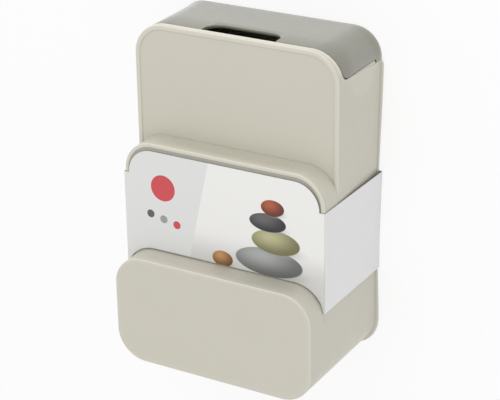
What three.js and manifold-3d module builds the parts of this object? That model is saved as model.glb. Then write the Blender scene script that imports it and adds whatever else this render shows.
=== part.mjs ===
// Three-tier storage organiser with a drawer and a card sleeve.
// Millimetres, +Z up, drawer front toward -Y, origin on the floor at the middle of the footprint.
import * as THREE from "three";
import { mergeVertices } from "three/addons/utils/BufferGeometryUtils.js";
import Module from "manifold-3d";

const wasm = await Module();
wasm.setup();

// Shell: overall form
const upperDeckWidth = 205;
const sideDraft = 0.0164;
const lowerDeckDepth = 105;
const middleDeckDepth = 106;
const upperDeckDepth = 107;
const lowerDeckHeight = 85;
const middleStep = 25;
const upperStep = 25;
const cornerRadius = 29.5;

// Shell: walls and edges
const wall = 2.5;
const deckThickness = 3;
const edgeRound = 1.2;
const rimWidth = 4.3;
const rimHeight = 1;
const apronHeight = 7.6;
const lipProud = 2.4;
const lipHeight = 2.6;
const lipSetback = 3;

// Drawer
const frontWall = 3;
const frontWrap = 26;
const wrapCornerRadius = 5;
const notchWidth = 74.5;
const notchDepth = 19;
const notchRadius = 13.5;
const trayWall = 2.2;
const trayFloor = 2.2;
const trayBelowApron = 2.5;
const trayBackClearance = 3;
const drawerTravel = 205;
const tabLength = 14;

// Runners, their screws and the feet
const runnerThickness = 3;
const runnerEndClearance = 4;
const runnerSideClearance = 2.6;
const rideWidth = 8;
const guideThickness = 1.6;
const guideHeight = 6;
const bossDiameter = 7;
const bossLength = 22;
const screwsPerRunner = 3;
const screwEndDistance = 28;
const screwShank = 2.6;
const screwLength = 12;
const screwHead = 5.6;
const screwHeadHeight = 1.3;
const screwSocket = 2.4;
const footHeight = 1.5;
const footDiameter = 10;
const footPocketDepth = 0.8;
const footEndDistance = 10;

// Card sleeve
const cardThickness = 0.6;
const cardInset = 2.6;
const sleeveSetback = 32;
const sleeveLength = 98;

// Clearances
const fitGap = 0.3;
const seamGap = 0.8;
const runningGap = 0.6;
const stopGap = 1;

// Sides of a quarter round, and steps of an edge round
const cornerSides = 6;
const edgeSteps = 3;
const roundSides = 20;

// Places worked out from the sizes above
const bodyDepth = lowerDeckDepth + middleDeckDepth + upperDeckDepth;
const frontY = -(bodyDepth + lipProud) / 2;
const backY = frontY + bodyDepth;
const middleFrontY = frontY + lowerDeckDepth;
const upperFrontY = middleFrontY + middleDeckDepth;
const baseZ = footHeight;
const middleDeckHeight = lowerDeckHeight + middleStep;
const upperDeckHeight = middleDeckHeight + upperStep;
const apronZ = lowerDeckHeight - apronHeight;
const lowerCeilingZ = lowerDeckHeight - deckThickness;
const seamY = frontY + frontWrap + seamGap;
const upperHalf = upperDeckWidth / 2;
const halfWidthAt = (z) => upperHalf + sideDraft * (upperDeckHeight - z);

const runnerTopZ = baseZ + runnerThickness;
const runnerOuterX = halfWidthAt(runnerTopZ) - wall - runnerSideClearance;
const bossX = runnerOuterX - bossDiameter / 2;
const guideX = bossX - bossDiameter / 2 - fitGap - guideThickness;
const trayHalf = guideX - runningGap;
const runnerInnerX = trayHalf - rideWidth;
const runnerFrontY = seamY + runnerEndClearance;
const runnerBackY = backY - cornerRadius;
const trayBottomZ = runnerTopZ + fitGap;
const trayTopZ = apronZ - trayBelowApron;
const trayBackY = backY - wall - trayBackClearance;
const trayCornerRadius = cornerRadius - wall - trayBackClearance;
const drawerTopZ = apronZ - seamGap;
const bossBottomZ = runnerTopZ + fitGap;

// Solids from three.js geometry, joined and cut as manifolds
function solid(geometry) {
  const bare = geometry.clone();
  bare.deleteAttribute("normal");
  bare.deleteAttribute("uv");
  const merged = mergeVertices(bare, 1e-4);
  return new wasm.Manifold(new wasm.Mesh({
    numProp: 3,
    vertProperties: new Float32Array(merged.attributes.position.array),
    triVerts: new Uint32Array(merged.index.array),
  }));
}

function geometryOf(manifold) {
  const mesh = manifold.getMesh();
  const geometry = new THREE.BufferGeometry();
  geometry.setAttribute("position", new THREE.BufferAttribute(new Float32Array(mesh.vertProperties), 3));
  geometry.setIndex(new THREE.BufferAttribute(new Uint32Array(mesh.triVerts), 1));
  geometry.computeVertexNormals();
  return geometry;
}

// Rectangle in plan with its own front and back corner radius
function outline(half, front, back, frontRadius, backRadius) {
  const shape = new THREE.Shape();
  shape.moveTo(-half + frontRadius, front);
  shape.lineTo(half - frontRadius, front);
  if (frontRadius > 0) shape.absarc(half - frontRadius, front + frontRadius, frontRadius, -Math.PI / 2, 0);
  shape.lineTo(half, back - backRadius);
  if (backRadius > 0) shape.absarc(half - backRadius, back - backRadius, backRadius, 0, Math.PI / 2);
  shape.lineTo(-half + backRadius, back);
  if (backRadius > 0) shape.absarc(-half + backRadius, back - backRadius, backRadius, Math.PI / 2, Math.PI);
  shape.lineTo(-half, front + frontRadius);
  if (frontRadius > 0) shape.absarc(-half + frontRadius, front + frontRadius, frontRadius, Math.PI, 1.5 * Math.PI);
  return shape;
}

function upright(shape, bottom, top, round = 0) {
  const geometry = new THREE.ExtrudeGeometry(shape, {
    depth: top - bottom - 2 * round,
    curveSegments: cornerSides,
    bevelEnabled: round > 0,
    bevelThickness: round,
    bevelSize: round,
    bevelOffset: -round,
    bevelSegments: edgeSteps,
  });
  return geometry.translate(0, 0, bottom + round);
}

// Section in X and Z, run along Y
function alongY(shape, front, back) {
  const geometry = new THREE.ExtrudeGeometry(shape, {
    depth: back - front,
    curveSegments: cornerSides,
    bevelEnabled: false,
  });
  return geometry.rotateX(Math.PI / 2).translate(0, back, 0);
}

// Section in Y and Z, run along X
function alongX(shape, left, right) {
  const geometry = new THREE.ExtrudeGeometry(shape, {
    depth: right - left,
    curveSegments: cornerSides,
    bevelEnabled: false,
  });
  return geometry.rotateX(Math.PI / 2).rotateZ(Math.PI / 2).translate(left, 0, 0);
}

function block(x0, x1, y0, y1, z0, z1) {
  const geometry = new THREE.BoxGeometry(x1 - x0, y1 - y0, z1 - z0);
  return geometry.translate((x0 + x1) / 2, (y0 + y1) / 2, (z0 + z1) / 2);
}

function post(x, y, radius, z0, z1) {
  const geometry = new THREE.CylinderGeometry(radius, radius, z1 - z0, roundSides);
  return geometry.rotateX(Math.PI / 2).translate(x, y, (z0 + z1) / 2);
}

// Side walls lean out toward the base by the draft
function drafted(geometry) {
  const position = geometry.attributes.position;
  for (let i = 0; i < position.count; i += 1) {
    const lean = sideDraft * (upperDeckHeight - position.getZ(i));
    position.setX(i, position.getX(i) + Math.sign(position.getX(i)) * lean);
  }
  return geometry;
}

// Outline of the body from a tier's front to the back wall, drawn in by an inset
function tierOutline(front, inset) {
  const radius = cornerRadius - inset;
  return outline(upperHalf - inset, front + inset, backY - inset, radius, radius);
}

// Tall enough to pass right through any part of the body
const beyond = upperDeckHeight;

function tier(front, top) {
  const bottom = baseZ - 2 * edgeRound;
  const outside = solid(drafted(upright(tierOutline(front, 0), bottom, top, edgeRound)));
  const recess = solid(drafted(upright(tierOutline(front, rimWidth), top - rimHeight, top + beyond)));
  return outside.subtract(recess);
}

function tierCavity(front, top) {
  return solid(drafted(upright(tierOutline(front, wall), baseZ - beyond, top - deckThickness)));
}

// Everything ahead of the drawer's seam and below the apron, with a rounded upper rear corner
function frontZone(end, top, radius) {
  const shape = new THREE.Shape();
  shape.moveTo(frontY - beyond, -beyond);
  shape.lineTo(end, -beyond);
  shape.lineTo(end, top - radius);
  shape.absarc(end - radius, top - radius, radius, 0, Math.PI / 2);
  shape.lineTo(frontY - beyond, top);
  return solid(alongX(shape, -beyond * 2, beyond * 2));
}

const tiers = [
  { front: frontY, top: lowerDeckHeight },
  { front: middleFrontY, top: middleDeckHeight },
  { front: upperFrontY, top: upperDeckHeight },
];

const screwPlaces = Array.from({ length: screwsPerRunner }, (_, i) => {
  const span = runnerBackY - runnerFrontY - 2 * screwEndDistance;
  return runnerFrontY + screwEndDistance + (span * i) / (screwsPerRunner - 1);
});
const sides = [
  { name: "left", sign: -1 },
  { name: "right", sign: 1 },
];

// Shell: tiers joined, hollowed, opened for the drawer, with a lip and screw bosses
function makeShell() {
  let shell = tiers.map((t) => tier(t.front, t.top)).reduce((a, b) => a.add(b));
  const lip = solid(drafted(upright(tierOutline(frontY, -lipProud), baseZ, baseZ + lipHeight)));
  const behindSeam = solid(block(-beyond * 2, beyond * 2, seamY + lipSetback, backY + beyond, -beyond, beyond));
  shell = shell.add(lip.intersect(behindSeam));
  tiers.forEach((t) => {
    shell = shell.subtract(tierCavity(t.front, t.top));
  });
  shell = shell.subtract(frontZone(seamY, apronZ, wrapCornerRadius + seamGap));
  shell = shell.subtract(solid(block(-beyond * 2, beyond * 2, frontY - beyond, backY + beyond, -beyond, baseZ)));
  sides.forEach(({ sign }) => {
    screwPlaces.forEach((y) => {
      const top = bossBottomZ + bossLength;
      const webEnd = halfWidthAt(top) - wall / 2;
      const boss = solid(post(sign * bossX, y, bossDiameter / 2, bossBottomZ, top));
      const webX = [sign * bossX, sign * webEnd].sort((a, b) => a - b);
      const web = solid(block(webX[0], webX[1], y - bossDiameter / 4, y + bossDiameter / 4, bossBottomZ, top));
      const pilotTop = bossBottomZ + screwLength;
      const pilot = solid(post(sign * bossX, y, screwShank / 2 + fitGap, bossBottomZ - fitGap, pilotTop));
      shell = shell.add(boss).add(web).subtract(pilot);
    });
  });
  return shell;
}

// Inside face of the lower deck's apron at a given distance from the middle
function apronInsideY(x) {
  const radius = cornerRadius - wall;
  const centreX = halfWidthAt(apronZ) - cornerRadius;
  const across = Math.max(0, x - centreX);
  return frontY + cornerRadius - Math.sqrt(radius * radius - across * across);
}

// Drawer: wrapped front, tray, stop tabs and finger notch
function makeDrawer() {
  const frontOutside = solid(drafted(upright(tierOutline(frontY, 0), baseZ, drawerTopZ)));
  const frontInside = solid(drafted(upright(tierOutline(frontY, frontWall), baseZ - beyond, drawerTopZ + beyond)));
  const wrapEnd = frontZone(frontY + frontWrap, drawerTopZ, wrapCornerRadius);
  const front = frontOutside.subtract(frontInside).intersect(wrapEnd);

  const trayShape = outline(trayHalf, frontY, trayBackY, 0, trayCornerRadius);
  const insideRadius = trayCornerRadius - trayWall;
  const insideShape = outline(trayHalf - trayWall, frontY, trayBackY - trayWall, 0, insideRadius);
  const halfInFront = solid(drafted(upright(tierOutline(frontY, frontWall / 2), baseZ - beyond, drawerTopZ)));
  const tray = solid(upright(trayShape, trayBottomZ, trayTopZ)).intersect(halfInFront);
  const inside = solid(upright(insideShape, trayBottomZ + trayFloor, trayTopZ + beyond)).intersect(frontInside);

  const tabFrontY = apronInsideY(trayHalf) + stopGap + drawerTravel;
  const tabTopZ = lowerCeilingZ - stopGap;
  let drawer = front.add(tray);
  sides.forEach(({ sign }) => {
    const tabX = [sign * trayHalf, sign * (trayHalf - trayWall)].sort((a, b) => a - b);
    const tabBottomZ = trayTopZ - trayFloor;
    drawer = drawer.add(solid(block(tabX[0], tabX[1], tabFrontY, tabFrontY + tabLength, tabBottomZ, tabTopZ)));
  });

  const notch = new THREE.Shape();
  const notchHalf = notchWidth / 2;
  const notchBottomZ = drawerTopZ - notchDepth;
  notch.moveTo(-notchHalf, drawerTopZ + beyond);
  notch.lineTo(-notchHalf, notchBottomZ + notchRadius);
  notch.absarc(-notchHalf + notchRadius, notchBottomZ + notchRadius, notchRadius, Math.PI, 1.5 * Math.PI);
  notch.absarc(notchHalf - notchRadius, notchBottomZ + notchRadius, notchRadius, 1.5 * Math.PI, 2 * Math.PI);
  notch.lineTo(notchHalf, drawerTopZ + beyond);
  const notchCut = solid(alongY(notch, frontY - frontWall, frontY + 2 * frontWall));
  return drawer.subtract(inside).subtract(notchCut);
}

// Runner: flat strip with a guide rib, screw holes, counterbores and foot pockets
const footX = (runnerInnerX + runnerOuterX) / 2;
const footPlaces = [runnerFrontY + footEndDistance, runnerBackY - footEndDistance];

function makeRunner(sign) {
  const across = (a, b) => [sign * a, sign * b].sort((p, q) => p - q);
  const stripX = across(runnerInnerX, runnerOuterX);
  const ribX = across(guideX, guideX + guideThickness);
  let runner = solid(block(stripX[0], stripX[1], runnerFrontY, runnerBackY, baseZ, runnerTopZ));
  const ribTopZ = runnerTopZ + guideHeight;
  runner = runner.add(solid(block(ribX[0], ribX[1], runnerFrontY, runnerBackY, baseZ, ribTopZ)));
  screwPlaces.forEach((y) => {
    const hole = solid(post(sign * bossX, y, screwShank / 2 + fitGap, baseZ - beyond, runnerTopZ + beyond));
    const counterboreTop = baseZ + screwHeadHeight + fitGap;
    const counterbore = solid(post(sign * bossX, y, screwHead / 2 + fitGap, baseZ - beyond, counterboreTop));
    runner = runner.subtract(hole).subtract(counterbore);
  });
  footPlaces.forEach((y) => {
    const pocketTop = baseZ + footPocketDepth;
    runner = runner.subtract(solid(post(sign * footX, y, footDiameter / 2 + fitGap, baseZ - beyond, pocketTop)));
  });
  return runner;
}

// Screw: pan head down, with a tapered drive socket
function screwGeometry() {
  const head = screwHead / 2;
  const shank = screwShank / 2;
  const tip = screwHeadHeight + screwLength;
  const profile = [
    new THREE.Vector2(0, screwHeadHeight * 0.6),
    new THREE.Vector2(screwSocket / 2, 0),
    new THREE.Vector2(head * 0.8, 0),
    new THREE.Vector2(head, screwHeadHeight * 0.4),
    new THREE.Vector2(head, screwHeadHeight),
    new THREE.Vector2(shank, screwHeadHeight),
    new THREE.Vector2(shank, tip - shank),
    new THREE.Vector2(0, tip),
  ];
  return new THREE.LatheGeometry(profile, roundSides).rotateX(Math.PI / 2);
}

// Foot: round pad with a softened lower edge
function footGeometry() {
  const radius = footDiameter / 2;
  const top = footHeight + footPocketDepth - fitGap;
  const soft = footHeight / 3;
  const profile = [
    new THREE.Vector2(0, 0),
    new THREE.Vector2(radius - soft, 0),
    new THREE.Vector2(radius, soft),
    new THREE.Vector2(radius, top),
    new THREE.Vector2(0, top),
  ];
  return new THREE.LatheGeometry(profile, roundSides).rotateX(Math.PI / 2);
}

// Card sleeve: a folded loop, with a front panel shaped to the rim and to the riser behind it
function makeSleeve() {
  const lipTopZ = baseZ + lipHeight;
  const lipX = halfWidthAt(baseZ) + lipProud + fitGap;
  const foldX = halfWidthAt(middleDeckHeight) + fitGap;
  const topZ = middleDeckHeight + fitGap;
  const bottomZ = baseZ - fitGap;
  const lean = (lipX - foldX) / (topZ - lipTopZ);
  const heelX = lipX + lean * (lipTopZ - bottomZ);

  const loopOutline = (grow) => [
    new THREE.Vector2(-foldX - grow, topZ + grow),
    new THREE.Vector2(-heelX - grow, bottomZ - grow),
    new THREE.Vector2(heelX + grow, bottomZ - grow),
    new THREE.Vector2(foldX + grow, topZ + grow),
  ];
  const section = new THREE.Shape(loopOutline(cardThickness));
  section.holes.push(new THREE.Path(loopOutline(0)));
  const sideFrontY = middleFrontY + sleeveSetback;
  const loop = solid(alongY(section, sideFrontY, sideFrontY + sleeveLength));

  const panelInset = rimWidth + cardInset;
  const panelHalf = halfWidthAt(middleDeckHeight) - panelInset;
  const panelFrontY = middleFrontY + panelInset;
  const panelBackY = sideFrontY + rimWidth;
  const panelShape = outline(panelHalf, panelFrontY, panelBackY, cornerRadius - panelInset, 0);
  const panel = solid(upright(panelShape, topZ, topZ + cardThickness));

  const riser = solid(drafted(upright(tierOutline(upperFrontY, -fitGap), middleDeckHeight, upperDeckHeight)));
  return loop.add(panel).subtract(riser);
}

// Materials and the finished assembly
const looks = {
  shell: { color: 0xc9c6b9, roughness: 0.5 },
  drawer: { color: 0x8f908a, roughness: 0.45 },
  runner: { color: 0x8f908a, roughness: 0.55 },
  steel: { color: 0xb4b6b8, roughness: 0.35, metalness: 1 },
  rubber: { color: 0x3a3a3a, roughness: 0.85 },
  card: { color: 0xe2e1df, roughness: 0.6 },
};
const organiser = new THREE.Group();

function place(name, geometry, look, x = 0, y = 0, z = 0) {
  const mesh = new THREE.Mesh(geometry, new THREE.MeshStandardMaterial(looks[look]));
  mesh.name = name;
  mesh.position.set(x, y, z);
  organiser.add(mesh);
}

place("tiered_shell", geometryOf(makeShell()), "shell");
place("drawer", geometryOf(makeDrawer()), "drawer");
place("card_sleeve", geometryOf(makeSleeve()), "card");
sides.forEach(({ name, sign }) => {
  place(`${name}_runner`, geometryOf(makeRunner(sign)), "runner");
  screwPlaces.forEach((y, i) => {
    place(`${name}_runner_screw_${i + 1}`, screwGeometry(), "steel", sign * bossX, y, baseZ);
  });
  footPlaces.forEach((y, i) => {
    place(`${i === 0 ? "front" : "rear"}_${name}_foot`, footGeometry(), "rubber", sign * footX, y, 0);
  });
});

export default organiser;
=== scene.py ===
import bmesh
import bpy
import numpy as np
from mathutils import Matrix, Vector


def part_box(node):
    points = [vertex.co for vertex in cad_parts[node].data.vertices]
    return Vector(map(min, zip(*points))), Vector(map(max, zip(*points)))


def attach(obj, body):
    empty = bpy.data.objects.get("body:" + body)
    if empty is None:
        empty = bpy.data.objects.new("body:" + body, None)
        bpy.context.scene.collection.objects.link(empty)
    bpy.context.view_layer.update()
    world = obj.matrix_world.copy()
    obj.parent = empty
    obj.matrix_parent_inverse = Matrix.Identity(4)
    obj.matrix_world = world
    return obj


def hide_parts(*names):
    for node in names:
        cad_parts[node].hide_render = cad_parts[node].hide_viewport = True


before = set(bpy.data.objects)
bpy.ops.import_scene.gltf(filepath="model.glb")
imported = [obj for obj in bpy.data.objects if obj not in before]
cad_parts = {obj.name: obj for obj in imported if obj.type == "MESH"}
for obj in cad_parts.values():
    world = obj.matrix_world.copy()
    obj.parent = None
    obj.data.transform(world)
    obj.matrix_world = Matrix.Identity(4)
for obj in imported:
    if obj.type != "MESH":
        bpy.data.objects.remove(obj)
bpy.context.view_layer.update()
scene = bpy.context.scene
scene.view_settings.view_transform = "Standard"
mm = 0.001
print("organiser: frame loaded with", len(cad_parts), "nodes")

# Camera, from a fit of the body's edges to the photograph
photoCamera = {
    "place": (-0.69751, -0.62574, 1.28702),
    "right": (-0.87193, 0.01132, -0.48949),
    "up": (0.19065, -0.91298, -0.36073),
    "lens": 120.33,
    "sensor": 36.0,
    "clip": (0.05, 30.0),
}


def addCamera(look):
    # the picture's right and up and the way back from it are the columns of the camera's turn
    right = Vector(look["right"]).normalized()
    back = right.cross(Vector(look["up"])).normalized()
    turn = Matrix((right, back.cross(right), back)).transposed().to_4x4()
    data = bpy.data.cameras.new("photoCamera")
    data.sensor_fit = "HORIZONTAL"
    data.sensor_width = look["sensor"]
    data.lens = look["lens"]
    data.clip_start, data.clip_end = look["clip"]
    camera = bpy.data.objects.new("photoCamera", data)
    camera.matrix_world = Matrix.Translation(look["place"]) @ turn
    scene.collection.objects.link(camera)
    scene.camera = camera


addCamera(photoCamera)
print("organiser: camera placed")


# Short ways to wire shader nodes
def feed(tree, socket, value):
    # a link where the value comes from another node, otherwise a plain setting
    if isinstance(value, bpy.types.NodeSocket):
        tree.links.new(value, socket)
    else:
        socket.default_value = value


def mathNode(tree, operation, first, second):
    node = tree.nodes.new("ShaderNodeMath")
    node.operation = operation
    feed(tree, node.inputs[0], first)
    feed(tree, node.inputs[1], second)
    return node.outputs[0]


# Studio: a pale floor, an even white room and soft lamps
studio = {
    "floorHalf": 8.0,
    "floorDrop": 0.1 * mm,  # just under the feet
    "floorColour": (0.9, 0.9, 0.9, 1.0),
    "whiteShare": 0.84,  # how far the floor is plain white to the eye, the rest shows the shadow
    "roomLight": 0.78,
    "lamps": {  # place, aim, size, watts
        "frontLamp": ((0.1, -1.3, 1.3), (0.0, 0.0, 0.07), (0.8, 0.8), 5.0),
        "overheadLamp": ((-0.3, -0.1, 1.9), (0.0, 0.0, 0.07), (1.4, 1.4), 3.4),
        "lowLamp": ((0.06, -0.54, 0.012), (0.0, -0.16, 0.05), (0.8, 0.022), 0.58),
        "sideLamp": ((-0.75, 0.55, 0.25), (0.0, 0.1, 0.07), (0.4, 0.4), 0.2),
    },
}


def seenDirectly(tree):
    # 1 for the eye, for reflections and through clear things, 0 for light that bounces
    path = tree.nodes.new("ShaderNodeLightPath")
    seen = path.outputs["Is Camera Ray"]
    for kind in ("Is Glossy Ray", "Is Transmission Ray"):
        seen = mathNode(tree, "MAXIMUM", seen, path.outputs[kind])
    return seen


def addStudio(look):
    half, low = look["floorHalf"], -look["floorDrop"]
    corners = [(-half, -half, low), (half, -half, low), (half, half, low), (-half, half, low)]
    mesh = bpy.data.meshes.new("studioFloor")
    mesh.from_pydata(corners, [], [(0, 1, 2, 3)])
    floor = bpy.data.objects.new("studioFloor", mesh)
    scene.collection.objects.link(floor)

    paint = bpy.data.materials.new("studioFloor")
    paint.use_nodes = True
    tree = paint.node_tree
    tree.nodes.clear()
    matt = tree.nodes.new("ShaderNodeBsdfDiffuse")
    matt.inputs["Color"].default_value = look["floorColour"]
    white = tree.nodes.new("ShaderNodeEmission")
    share = mathNode(tree, "MULTIPLY", seenDirectly(tree), look["whiteShare"])
    mix = tree.nodes.new("ShaderNodeMixShader")
    for source, socket in zip((share, matt.outputs[0], white.outputs[0]), mix.inputs):
        tree.links.new(source, socket)
    out = tree.nodes.new("ShaderNodeOutputMaterial")
    tree.links.new(mix.outputs[0], out.inputs["Surface"])
    mesh.materials.append(paint)

    room = bpy.data.worlds.new("studioRoom")
    room.use_nodes = True
    tree = room.node_tree
    tree.nodes.clear()
    strength = tree.nodes.new("ShaderNodeMapRange")
    strength.inputs["To Min"].default_value = look["roomLight"]
    strength.inputs["To Max"].default_value = 1.0  # plain white to the eye
    tree.links.new(seenDirectly(tree), strength.inputs["Value"])
    sky = tree.nodes.new("ShaderNodeBackground")
    tree.links.new(strength.outputs["Result"], sky.inputs["Strength"])
    sky.inputs["Color"].default_value = (1.0, 1.0, 1.0, 1.0)
    out = tree.nodes.new("ShaderNodeOutputWorld")
    tree.links.new(sky.outputs[0], out.inputs["Surface"])
    scene.world = room

    for name, (place, aim, size, watts) in look["lamps"].items():
        data = bpy.data.lights.new(name, "AREA")
        data.shape = "RECTANGLE"
        data.size, data.size_y = size
        data.energy = watts
        lampObject = bpy.data.objects.new(name, data)
        lampObject.visible_camera = False
        turn = (Vector(aim) - Vector(place)).to_track_quat("-Z", "Y").to_matrix().to_4x4()
        lampObject.matrix_world = Matrix.Translation(place) @ turn
        scene.collection.objects.link(lampObject)


addStudio(studio)
print("organiser: studio lit")

# The body's own form, shared by the shell, the drawer front and the sleeve
shellLow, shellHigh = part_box("tiered_shell")
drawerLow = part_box("drawer")[0]
sleeveLow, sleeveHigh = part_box("card_sleeve")
bodyForm = {
    "upperHalf": 102.5 * mm,
    "draft": 0.0164,
    "corner": 29.5 * mm,
    "lip": 2.4 * mm,
    "deckDepth": (105.0 * mm, 106.0 * mm),  # lower, middle
    "deckHeight": (85.0 * mm, 110.0 * mm),
    "bow": 2.1 * mm,  # how far a side wall draws in at the base, half way along
    "bowMiddle": 22.0 * mm,
    "bowReach": (150.0 * mm, 116.0 * mm),  # toward the front, toward the back
    "cornerSides": 20,
    "sideStep": 10.0 * mm,
    "support": 1.5 * mm,  # a row close to each round, so that flats stay flat
    "flatShares": (1.0, 0.975, 0.5, 0.0, -0.5, -0.975, -1.0),  # rows across a flat front or back
}
corner = bodyForm["corner"]
baseZ, topZ = shellLow.z, shellHigh.z
frontY, backY = drawerLow.y, shellHigh.y - bodyForm["lip"]
deckZ = (*bodyForm["deckHeight"], topZ)
tierY = (frontY, frontY + bodyForm["deckDepth"][0], frontY + sum(bodyForm["deckDepth"]))
mirror = np.array([-1, 1, -1, 1])  # takes a path row to the other side
flatShares = np.array(bodyForm["flatShares"])


def halfWidth(z):
    # half the body's width grows by the draft toward the base
    return bodyForm["upperHalf"] + bodyForm["draft"] * (topZ - z)


def bowShare(y):
    # 1 half way along a side wall, falling smoothly to 0 toward its ends
    reach = np.where(y < bodyForm["bowMiddle"], *bodyForm["bowReach"])
    return np.clip(1 - ((y - bodyForm["bowMiddle"]) / reach) ** 2, 0.0, 1.0) ** 2


def wallBow(y, z):
    # a side wall draws in evenly from the lower deck's height down to the base
    return bodyForm["bow"] * bowShare(y) * np.clip((deckZ[0] - z) / (deckZ[0] - baseZ), 0.0, 1.0)


def quarterTurn(sides):
    # angles of a quarter round, in even steps
    return np.radians(np.linspace(0, 90, sides + 1))


# A path row holds the corner centre's share of the width, its Y, and the outward direction there
def sideStations(lowY, highY):
    # places along a side, close enough together to follow its bow
    steps = int(np.ceil((highY - lowY) / bodyForm["sideStep"])) + 1
    return np.concatenate([[lowY], np.linspace(lowY + bodyForm["support"], highY, steps)])


def sideRun(ys):
    # along the left side
    level = np.zeros_like(ys)
    return np.column_stack([level - 1, ys, level - 1, level])


def cornerRun(centreY, startAngle, endAngle):
    # round a left corner
    angle = np.radians(np.linspace(startAngle, endAngle, bodyForm["cornerSides"] + 1))
    level = np.zeros_like(angle)
    return np.column_stack([level - 1, level + centreY, np.cos(angle), np.sin(angle)])


def flatRun(shares, centreY, facing):
    # across a flat front or back
    level = np.zeros_like(shares)
    return np.column_stack([shares, level + centreY, level, level + facing])


def joinRuns(*runs):
    # runs end to end, each without the row that the one before ends with
    return np.vstack([runs[0]] + [run[1:] for run in runs[1:]])


def seamAngle(front, y):
    # how far round a front corner the outline is at this Y, in degrees from the side
    return np.degrees(np.arcsin(np.clip((front + corner - y) / corner, 0.0, 1.0)))


def frontPath(front, endY):
    # from the right side round the front to the left side
    centre = front + corner
    left = cornerRun(centre, -90, seamAngle(front, endY) - 180)
    if endY > centre:
        left = joinRuns(left, sideRun(sideStations(centre, endY)))
    return joinRuns(left[::-1] * mirror, flatRun(flatShares, centre, -1), left)


def backPath(startY):
    # from the left side round the back to the right side
    centre = backY - corner
    along = startY + centre - sideStations(startY, centre)[::-1]
    left = joinRuns(sideRun(along), cornerRun(centre, 180, 90))
    return joinRuns(left, flatRun(-flatShares, centre, 1), left[::-1] * mirror)


def loopPath(front):
    # all the way round, without the row that would close it
    middle = (front + backY) / 2
    return np.vstack([frontPath(front, middle), backPath(middle)[1:-1]])


def bodyGrid(path, inset, z):
    # corner centre plus the outward direction times the corner radius less the inset, less the side's bow
    inset, z = np.asarray(inset, dtype=float), np.asarray(z, dtype=float)
    inset, z = [value[:, None] if value.ndim == 1 else value for value in (inset, z)]
    share, centreY, outX, outY = path.T
    y = centreY + (corner - inset) * outY
    x = share * (halfWidth(z) - corner - wallBow(y, z)) + (corner - inset) * outX
    return np.stack(np.broadcast_arrays(x, y, z), axis=-1)


def sideGrid(side, y, z, inset):
    # a side wall by places along it, with the end of the front corner's round
    reach = corner - inset
    past = np.clip(frontY + corner - y, 0.0, reach)
    x = halfWidth(z) - corner - wallBow(y, z) + np.sqrt(reach**2 - past**2)
    return np.stack(np.broadcast_arrays(side * x, y, z), axis=-1)


def gridPatch(points, over=False, closeRows=False, closeColumns=False, tone=0.0):
    # neighbouring rows and columns of a grid of points joined by four-sided faces
    rows, columns = points.shape[:2]
    index = np.arange(rows * columns).reshape(rows, columns)
    if closeRows:
        index = np.vstack([index, index[:1]])
    if closeColumns:
        index = np.hstack([index, index[:, :1]])
    faces = np.stack([index[:-1, :-1], index[1:, :-1], index[1:, 1:], index[:-1, 1:]], axis=-1)
    faces = faces.reshape(-1, 4)
    tones = np.broadcast_to(tone, (rows, columns)).reshape(-1)
    return points.reshape(-1, 3), (faces[:, ::-1] if over else faces), tones


def flatPatch(points, over=False):
    # one flat face through a ring of points
    ring = np.arange(len(points))[None, :]
    return points, (ring[:, ::-1] if over else ring), np.zeros(len(points))


meshFinish = {
    "weld": 0.002 * mm,  # points closer than this become one
    "slim": 0.001 * mm,  # edges shorter than this are dropped
    "sharpAngle": 35.0,  # degrees past which an edge shades sharp
}


def makePiece(name, patches, body, nodes, material):
    # the patches in one mesh, welded along their edges
    points = np.vstack([patch[0] for patch in patches])
    starts = np.cumsum([0] + [len(patch[0]) for patch in patches[:-1]])
    faces = [face for start, patch in zip(starts, patches) for face in (patch[1] + start).tolist()]
    mesh = bpy.data.meshes.new(name)
    mesh.from_pydata(points.tolist(), [], faces)
    tone = mesh.attributes.new("tone", "FLOAT", "POINT")  # marks painted highlight and shade on the shell, and the ink's share on the card
    tone.data.foreach_set("value", np.concatenate([patch[2] for patch in patches]).astype(np.float32))
    work = bmesh.new()
    work.from_mesh(mesh)
    bmesh.ops.remove_doubles(work, verts=work.verts, dist=meshFinish["weld"])
    bmesh.ops.dissolve_degenerate(work, edges=work.edges, dist=meshFinish["slim"])
    work.to_mesh(mesh)
    work.free()
    mesh.polygons.foreach_set("use_smooth", np.ones(len(mesh.polygons), dtype=bool))
    mesh.set_sharp_from_angle(angle=np.radians(meshFinish["sharpAngle"]))
    mesh.materials.append(material)
    piece = bpy.data.objects.new(name, mesh)
    scene.collection.objects.link(piece)
    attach(piece, body)
    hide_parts(*nodes)
    print("organiser:", name, "made with", len(mesh.polygons), "faces")


# Shader groups shared by the materials
def newGroup(name, inputs, outputs):
    group = bpy.data.node_groups.new(name, "ShaderNodeTree")
    for way, sockets in (("INPUT", inputs), ("OUTPUT", outputs)):
        for socketName, kind in sockets.items():
            group.interface.new_socket(name=socketName, in_out=way, socket_type=kind)
    return group, group.nodes.new("NodeGroupInput"), group.nodes.new("NodeGroupOutput")


def colourMix(tree, share, first, second):
    node = tree.nodes.new("ShaderNodeMix")
    node.data_type = "RGBA"
    for socket, value in ((node.inputs[0], share), (node.inputs[6], first), (node.inputs[7], second)):
        feed(tree, socket, value)
    return node.outputs[2]


def rampNode(tree, value, fromLow, fromHigh, toLow=0.0, toHigh=1.0):
    # smooth step between two values
    node = tree.nodes.new("ShaderNodeMapRange")
    node.interpolation_type = "SMOOTHSTEP"
    socketNames = ("Value", "From Min", "From Max", "To Min", "To Max")
    for socketName, setting in zip(socketNames, (value, fromLow, fromHigh, toLow, toHigh)):
        feed(tree, node.inputs[socketName], setting)
    return node.outputs["Result"]


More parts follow.
